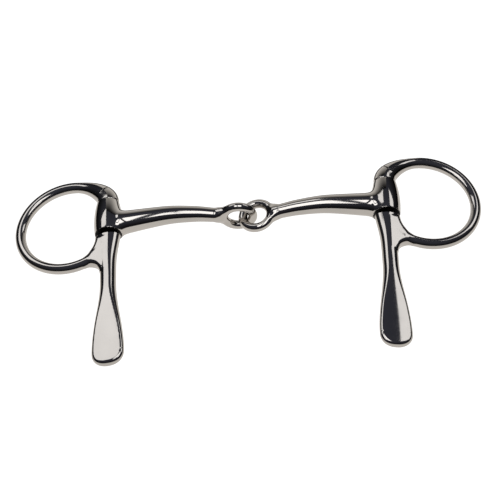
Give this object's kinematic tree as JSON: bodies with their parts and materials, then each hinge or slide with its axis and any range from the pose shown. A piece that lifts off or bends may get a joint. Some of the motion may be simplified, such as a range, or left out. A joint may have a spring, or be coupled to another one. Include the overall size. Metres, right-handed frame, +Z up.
{
  "type": "half-cheek snaffle bit",
  "caption": "Polished steel snaffle bit: two tapered arms linked by eyes, each hinged by a pin to a cheek with a round rein ring and a flat spoon.",
  "frame": {"origin": "middle of the bit's underside as it lies on a table", "axes": "+X along the mouthpiece to the right arm, +Y away from the spoons, +Z up from the table"},
  "size_m": [0.2342, 0.1178, 0.0219],
  "materials": {
    "mouthpiece_steel": "mirror-polished stainless steel",
    "cheek_steel": "mirror-polished stainless steel",
    "pin_steel": "ground stainless steel pin"
  },
  "bodies": {
    "left_arm": {"left_mouthpiece_arm": "mouthpiece_steel"},
    "right_arm": {"right_mouthpiece_arm": "mouthpiece_steel"},
    "left_cheekpiece": {"left_cheek": "cheek_steel", "left_hinge_pin": "pin_steel"},
    "right_cheekpiece": {"right_cheek": "cheek_steel", "right_hinge_pin": "pin_steel"}
  },
  "joints": [
    {"name": "centre_link", "type": "hinge", "parent": "left_arm", "child": "right_arm", "pos_m": [-0.00214, 0.02971, 0.00828], "axis": [-0.0185, 0.9919, 0.1253], "range_deg": [-105, 150]},
    {"name": "left_cheek_hinge", "type": "hinge", "parent": "left_arm", "child": "left_cheekpiece", "pos_m": [-0.06943, 0.03152, 0.01226], "axis": [0.0186, 0.9947, 0.1011], "range_deg": [-158, 180]},
    {"name": "right_cheek_hinge", "type": "hinge", "parent": "right_arm", "child": "right_cheekpiece", "pos_m": [0.06997, 0.03024, 0.01471], "axis": [-0.0185, 0.9919, 0.1253], "range_deg": [-182, 152]}
  ]
}
